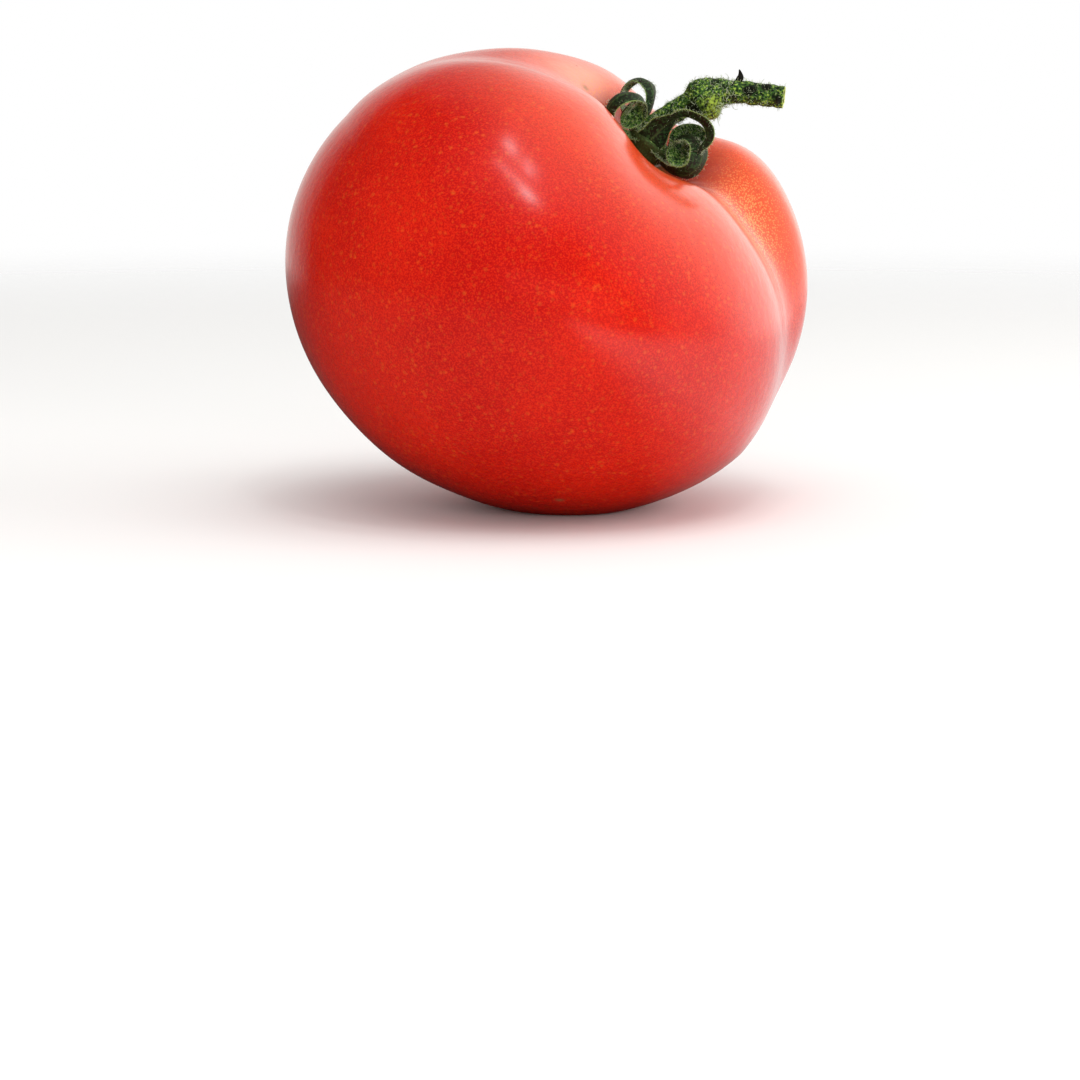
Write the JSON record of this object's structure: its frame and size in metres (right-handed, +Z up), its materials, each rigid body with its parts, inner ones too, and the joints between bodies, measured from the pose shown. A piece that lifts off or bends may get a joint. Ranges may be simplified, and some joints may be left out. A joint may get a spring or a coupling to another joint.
{
  "type": "tomato",
  "caption": "Ripe red beefsteak tomato with a curled green calyx and a bent stub of stalk, lying on a small flat spot with its stem end up and to one side.",
  "frame": {"origin": "on the flat rest spot, on the surface that the fruit lies on, straight below the middle of the fruit", "axes": "+Z up from the surface; +X to the right, the way that the stem end leans; -Y to the front"},
  "size_m": [0.095, 0.0933, 0.0828],
  "materials": {
    "skin": "satin",
    "sepal": "matte",
    "stalk": "matte"
  },
  "bodies": {
    "root": {"fruit": "skin", "calyx": "sepal", "pedicel": "stalk"}
  },
  "joints": []
}
